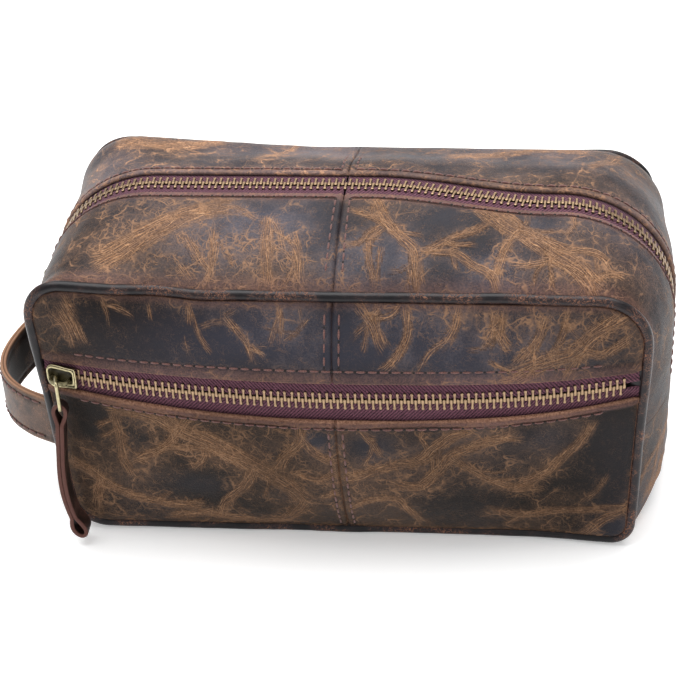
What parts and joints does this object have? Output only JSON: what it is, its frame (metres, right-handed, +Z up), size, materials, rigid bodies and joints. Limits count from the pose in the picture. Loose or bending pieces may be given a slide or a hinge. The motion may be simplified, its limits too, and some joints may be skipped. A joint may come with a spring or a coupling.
{
  "type": "shaving kit bag",
  "caption": "Soft leather shaving kit bag with a zip over the top, a zipped front pocket, piped seams, leather pulls and a strap handle on one side.",
  "frame": {"origin": "centre of the base between the piped seams, on the surface that the bag stands on", "axes": "+Z up, +X along the bag's width to its right, so the strap handle is at -X, and the front pocket faces -Y"},
  "size_m": [0.2834, 0.1461, 0.1361],
  "materials": {
    "shell_leather": "distressed waxed cowhide, tan creases",
    "piping_leather": "smooth dark waxed leather",
    "piping_cord": "twisted cotton cord",
    "lining_cloth": "plain woven cotton",
    "zip_tape": "woven polyester tape",
    "zip_teeth": "antique brass",
    "thread": "waxed nylon thread",
    "strap_leather": "waxed leather with tan edges",
    "pull_leather": "waxed leather with raw edges",
    "antique_brass": "antique brass, rubbed edges"
  },
  "bodies": {
    "bag": {"front_upper_left": "shell_leather", "front_upper_right": "shell_leather", "front_lower_left": "shell_leather", "front_lower_right": "shell_leather", "back_left": "shell_leather", "back_right": "shell_leather", "top_front_left": "shell_leather", "top_front_right": "shell_leather", "top_back_left": "shell_leather", "top_back_right": "shell_leather", "base_gusset": "shell_leather", "front_piping": "piping_leather", "front_piping_cord": "piping_cord", "back_piping": "piping_leather", "back_piping_cord": "piping_cord", "lining_front": "lining_cloth", "lining_back": "lining_cloth", "lining_base": "lining_cloth", "lining_top_front": "lining_cloth", "lining_top_back": "lining_cloth", "pocket_lining": "lining_cloth", "top_zip_tape_front": "zip_tape", "top_zip_tape_back": "zip_tape", "top_zip_teeth_front": "zip_teeth", "top_zip_teeth_back": "zip_teeth", "pocket_zip_tape_upper": "zip_tape", "pocket_zip_tape_lower": "zip_tape", "pocket_zip_teeth_upper": "zip_teeth", "pocket_zip_teeth_lower": "zip_teeth", "handle_outer": "strap_leather", "handle_inner": "strap_leather", "handle_stitching": "thread", "pocket_stitching": "thread", "top_zip_stitching": "thread", "centre_seam_stitching": "thread"},
    "pocket_slider": {"pocket_slider": "antique_brass", "pocket_slider_bridge": "antique_brass"},
    "pocket_ring": {"pocket_pull_ring": "antique_brass"},
    "pocket_pull": {"pocket_leather_pull": "pull_leather"},
    "top_slider": {"top_slider": "antique_brass", "top_slider_bridge": "antique_brass"},
    "top_ring": {"top_pull_ring": "antique_brass"},
    "top_pull": {"top_leather_pull": "pull_leather"}
  },
  "joints": [
    {"name": "pocket_slider_travel", "type": "hinge", "parent": "bag", "child": "pocket_slider", "pos_m": [0, 0.37079, 0.0815], "axis": [0, 0, 1], "range_deg": [0, 28.2], "deforming": ["pocket_zip_teeth_upper", "pocket_zip_teeth_lower"]},
    {"name": "pocket_ring_swing", "type": "hinge", "parent": "pocket_slider", "child": "pocket_ring", "pos_m": [-0.11303, -0.06705, 0.0815], "axis": [-1, 0, 0], "range_deg": [0, 90]},
    {"name": "pocket_pull_swing", "type": "hinge", "parent": "pocket_ring", "child": "pocket_pull", "pos_m": [-0.11303, -0.0681, 0.07045], "axis": [0, 1, 0], "range_deg": [0, 60]},
    {"name": "top_slider_travel", "type": "hinge", "parent": "bag", "child": "top_slider", "pos_m": [-0.079, 0, 0.089], "axis": [0, 1, 0], "range_deg": [0, 92], "deforming": ["top_zip_teeth_front", "top_zip_teeth_back"]},
    {"name": "top_ring_swing", "type": "hinge", "parent": "top_slider", "child": "top_ring", "pos_m": [-0.12862, 0, 0.08467], "axis": [0, 1, 0], "range_deg": [0, 12]},
    {"name": "top_pull_swing", "type": "hinge", "parent": "top_ring", "child": "top_pull", "pos_m": [-0.12862, 0, 0.07137], "axis": [0, 1, 0], "range_deg": [0, 20]}
  ]
}
